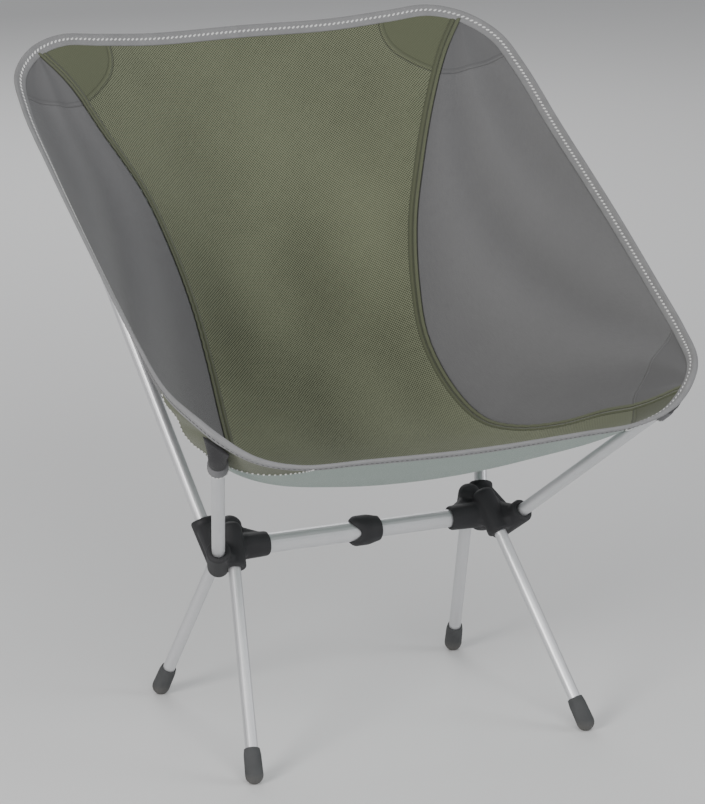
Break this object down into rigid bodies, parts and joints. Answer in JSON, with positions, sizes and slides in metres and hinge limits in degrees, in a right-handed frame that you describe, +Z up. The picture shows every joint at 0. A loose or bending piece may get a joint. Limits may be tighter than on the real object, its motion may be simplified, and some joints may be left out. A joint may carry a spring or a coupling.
{
  "type": "compact camping chair",
  "caption": "Low folding camp chair: shock-corded aluminium poles and legs in moulded hubs on a crossbar, with a fabric sling seat and backrest held on the pole tips.",
  "frame": {"origin": "on the floor, under the middle of the chair's box", "axes": "+Z up, the sitter faces -Y, +X to the right as seen from the front"},
  "size_m": [0.556, 0.5636, 0.655],
  "materials": {
    "aluminium_tube": "satin anodised",
    "black_nylon": "moulded, fine matt grain",
    "dark_rubber": "matt",
    "moss_cloth": "woven polyester, fine check weave",
    "grey_cloth": "plain woven polyester",
    "grey_tape": "woven binding tape with contrast stitching",
    "black_web": "woven webbing",
    "black_cord": "braided elastic cord"
  },
  "bodies": {
    "left_frame": {"left_hub": "black_nylon", "crossbar_left_tube": "aluminium_tube", "crossbar_coupler": "black_nylon", "crossbar_cord": "black_cord"},
    "right_frame": {"right_hub": "black_nylon", "crossbar_right_tube": "aluminium_tube"},
    "front_leg_left": {"front_leg_left_tube": "aluminium_tube", "front_leg_left_end_plug": "black_nylon", "front_leg_left_foot_cap": "dark_rubber", "front_leg_left_cord": "black_cord"},
    "rear_leg_left": {"rear_leg_left_tube": "aluminium_tube", "rear_leg_left_end_plug": "black_nylon", "rear_leg_left_foot_cap": "dark_rubber", "rear_leg_left_cord": "black_cord"},
    "front_pole_left": {"front_pole_left": "aluminium_tube", "front_pole_tip_left": "black_nylon", "front_pole_cord_left": "black_cord"},
    "back_pole_lower_left": {"back_pole_lower_left": "aluminium_tube", "back_pole_ferrule_left": "aluminium_tube", "back_pole_cord_left": "black_cord"},
    "back_pole_upper_left": {"back_pole_upper_left": "aluminium_tube", "back_pole_tip_left": "black_nylon"},
    "front_leg_right": {"front_leg_right_tube": "aluminium_tube", "front_leg_right_end_plug": "black_nylon", "front_leg_right_foot_cap": "dark_rubber", "front_leg_right_cord": "black_cord"},
    "rear_leg_right": {"rear_leg_right_tube": "aluminium_tube", "rear_leg_right_end_plug": "black_nylon", "rear_leg_right_foot_cap": "dark_rubber", "rear_leg_right_cord": "black_cord"},
    "front_pole_right": {"front_pole_right": "aluminium_tube", "front_pole_tip_right": "black_nylon", "front_pole_cord_right": "black_cord"},
    "back_pole_lower_right": {"back_pole_lower_right": "aluminium_tube", "back_pole_ferrule_right": "aluminium_tube", "back_pole_cord_right": "black_cord"},
    "back_pole_upper_right": {"back_pole_upper_right": "aluminium_tube", "back_pole_tip_right": "black_nylon"},
    "sling": {"seat_panel": "moss_cloth", "side_panel_left": "grey_cloth", "side_panel_right": "grey_cloth", "edge_binding": "grey_tape", "front_pocket_left": "black_web", "back_pocket_left": "black_web", "front_pocket_right": "black_web", "back_pocket_right": "black_web"}
  },
  "joints": [
    {"name": "sling_lift", "type": "slide", "parent": "left_frame", "child": "sling", "axis": [0, 0, 1], "range_m": [0, 0.28]},
    {"name": "crossbar_pull", "type": "slide", "parent": "left_frame", "child": "right_frame", "axis": [1, 0, 0], "range_m": [0, 0.042]},
    {"name": "front_leg_left_pull", "type": "slide", "parent": "left_frame", "child": "front_leg_left", "axis": [-0.1604, -0.5968, -0.7862], "range_m": [0, 0.034], "stiffness_N_per_m": 100, "springref_m": -0.05},
    {"name": "rear_leg_left_pull", "type": "slide", "parent": "left_frame", "child": "rear_leg_left", "axis": [-0.1516, 0.4676, -0.8708], "range_m": [0, 0.034], "stiffness_N_per_m": 100, "springref_m": -0.05},
    {"name": "front_pole_pull_left", "type": "slide", "parent": "left_frame", "child": "front_pole_left", "axis": [-0.2985, -0.7253, 0.6203], "range_m": [0, 0.035]},
    {"name": "back_pole_pull_left", "type": "slide", "parent": "left_frame", "child": "back_pole_lower_left", "axis": [-0.1889, 0.4661, 0.8643], "range_m": [0, 0.035]},
    {"name": "back_pole_split_left", "type": "slide", "parent": "back_pole_lower_left", "child": "back_pole_upper_left", "axis": [-0.1889, 0.4661, 0.8643], "range_m": [0, 0.035]},
    {"name": "front_leg_right_pull", "type": "slide", "parent": "right_frame", "child": "front_leg_right", "axis": [0.1604, -0.5968, -0.7862], "range_m": [0, 0.034], "stiffness_N_per_m": 100, "springref_m": -0.05},
    {"name": "rear_leg_right_pull", "type": "slide", "parent": "right_frame", "child": "rear_leg_right", "axis": [0.1516, 0.4676, -0.8708], "range_m": [0, 0.034], "stiffness_N_per_m": 100, "springref_m": -0.05},
    {"name": "front_pole_pull_right", "type": "slide", "parent": "right_frame", "child": "front_pole_right", "axis": [0.2985, -0.7253, 0.6203], "range_m": [0, 0.035]},
    {"name": "back_pole_pull_right", "type": "slide", "parent": "right_frame", "child": "back_pole_lower_right", "axis": [0.1889, 0.4661, 0.8643], "range_m": [0, 0.035]},
    {"name": "back_pole_split_right", "type": "slide", "parent": "back_pole_lower_right", "child": "back_pole_upper_right", "axis": [0.1889, 0.4661, 0.8643], "range_m": [0, 0.035]}
  ],
  "couplings": [
    {"joint": "crossbar_pull", "follows": "sling_lift", "ratio": 0.15},
    {"joint": "front_pole_pull_left", "follows": "sling_lift", "ratio": 0.125},
    {"joint": "back_pole_pull_left", "follows": "sling_lift", "ratio": 0.125},
    {"joint": "back_pole_split_left", "follows": "sling_lift", "ratio": 0.125},
    {"joint": "front_pole_pull_right", "follows": "sling_lift", "ratio": 0.125},
    {"joint": "back_pole_pull_right", "follows": "sling_lift", "ratio": 0.125},
    {"joint": "back_pole_split_right", "follows": "sling_lift", "ratio": 0.125}
  ]
}
